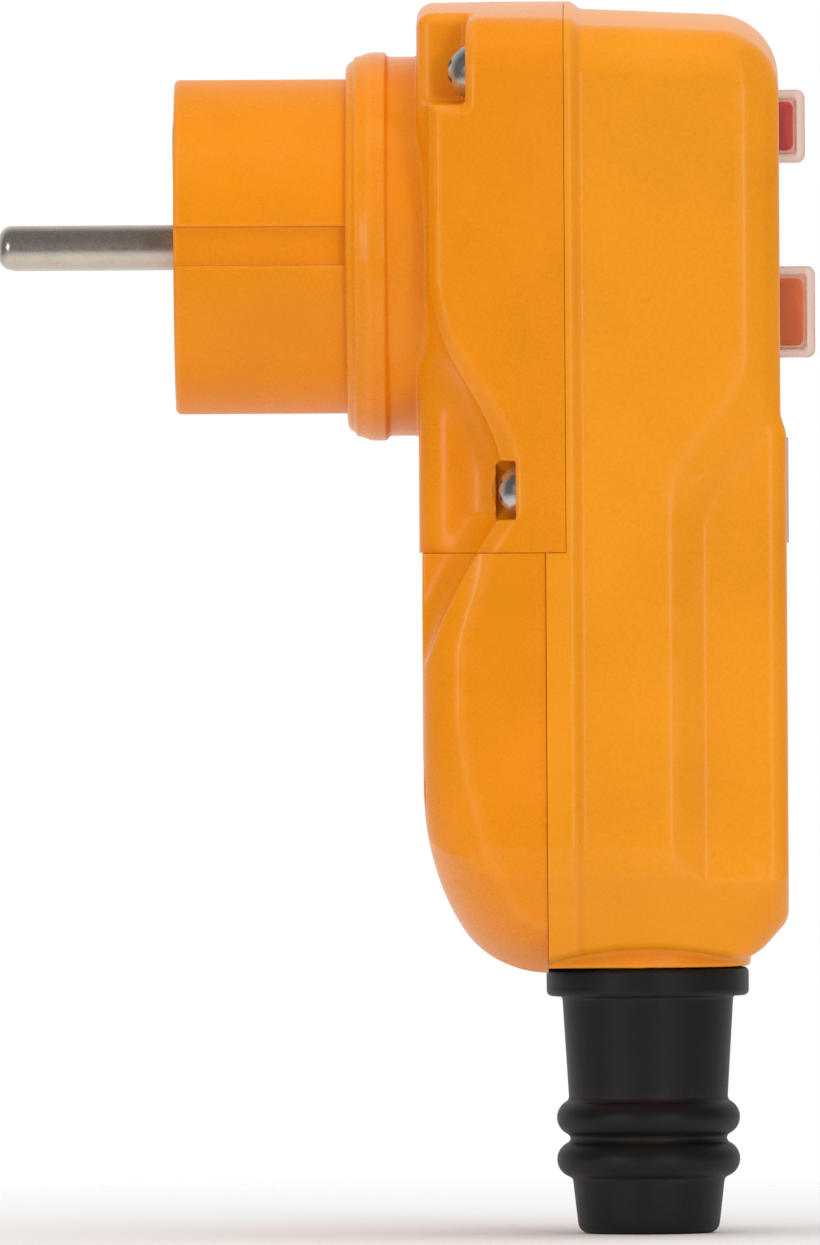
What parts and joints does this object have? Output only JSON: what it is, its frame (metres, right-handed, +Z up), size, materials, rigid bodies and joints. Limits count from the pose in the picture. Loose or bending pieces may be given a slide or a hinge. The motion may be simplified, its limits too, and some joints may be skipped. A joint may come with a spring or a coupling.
{
  "type": "residual current device plug",
  "caption": "Angled rewirable safety plug with a built-in residual current device: round earthed plug, split housing, booted test and reset buttons, and a rubber cable sleeve.",
  "frame": {"origin": "centre of the plug's contact face, on the axis of the round plug body, midway between the pins", "axes": "-X along the pins, out of the contact face; +X out of the front with the buttons; +Z up, with the cable leaving along -Z; Y across the housing"},
  "size_m": [0.0884, 0.054, 0.1339],
  "materials": {
    "rear_orange": "moulded impact plastic, satin",
    "front_orange": "moulded impact plastic, fine spark texture",
    "plug_orange": "moulded plug plastic, satin",
    "nickel": "nickel plated, polished",
    "zinc_steel": "zinc plated",
    "black_rubber": "matte soft rubber",
    "seal_rubber": "soft seal cord",
    "silicone": "milky translucent silicone",
    "red_button": "smooth moulded plastic",
    "amber_button": "smooth moulded plastic",
    "label_grey": "smooth bare plate",
    "natural_nylon": "unfilled nylon",
    "board_green": "lacquered board",
    "copper": "bare copper",
    "brass": "bare brass",
    "soft_iron": "ground",
    "spring_steel": "drawn wire",
    "black_plastic": "moulded black plastic",
    "blue_epoxy": "dipped epoxy",
    "capacitor_yellow": "potted box"
  },
  "bodies": {
    "housing": {"rear_shell": "rear_orange", "terminal_cover": "rear_orange", "front_shell": "front_orange", "plug_insert": "plug_orange", "line_pin": "nickel", "neutral_pin": "nickel", "earth_eyelet": "nickel", "housing_screws": "zinc_steel", "cover_screws": "zinc_steel", "clamp_screws": "zinc_steel", "guide_screws": "zinc_steel", "terminal_screws": "zinc_steel", "cable_sleeve": "black_rubber", "housing_seal": "seal_rubber", "cover_seal": "seal_rubber", "reset_boot": "silicone", "test_boot": "silicone", "label_plate": "label_grey", "pin_retainer": "natural_nylon", "button_guide": "natural_nylon", "magnet_bobbin": "natural_nylon", "cable_clamp": "natural_nylon", "terminal_block": "natural_nylon", "circuit_board": "board_green", "line_conductor": "copper", "neutral_conductor": "copper", "output_bars": "copper", "magnet_coil": "copper", "sensor_toroid": "copper", "earth_clip": "brass", "earth_strap": "brass", "fixed_contacts": "brass", "terminal_clamps": "brass", "magnet_core": "soft_iron", "carrier_springs": "spring_steel", "test_spring": "spring_steel", "test_switch": "black_plastic", "control_chip": "black_plastic", "surge_varistor": "blue_epoxy", "filter_capacitor": "capacitor_yellow"},
    "reset": {"reset_button": "red_button"},
    "test": {"test_button": "amber_button"},
    "carrier": {"contact_carrier": "natural_nylon", "armature_plate": "soft_iron", "moving_contacts": "brass"}
  },
  "joints": [
    {"name": "reset_press", "type": "slide", "parent": "housing", "child": "reset", "axis": [-1, 0, 0], "range_m": [0, 0.0014], "stiffness_N_per_m": 1500, "deforming": ["reset_boot"]},
    {"name": "carrier_close", "type": "slide", "parent": "housing", "child": "carrier", "axis": [-1, 0, 0], "range_m": [0, 0.0014], "stiffness_N_per_m": 600, "deforming": ["carrier_springs"]},
    {"name": "test_press", "type": "slide", "parent": "housing", "child": "test", "axis": [-1, 0, 0], "range_m": [0, 0.002], "stiffness_N_per_m": 900, "deforming": ["test_boot", "test_spring"]}
  ],
  "couplings": [
    {"joint": "carrier_close", "follows": "reset_press", "ratio": 1}
  ]
}
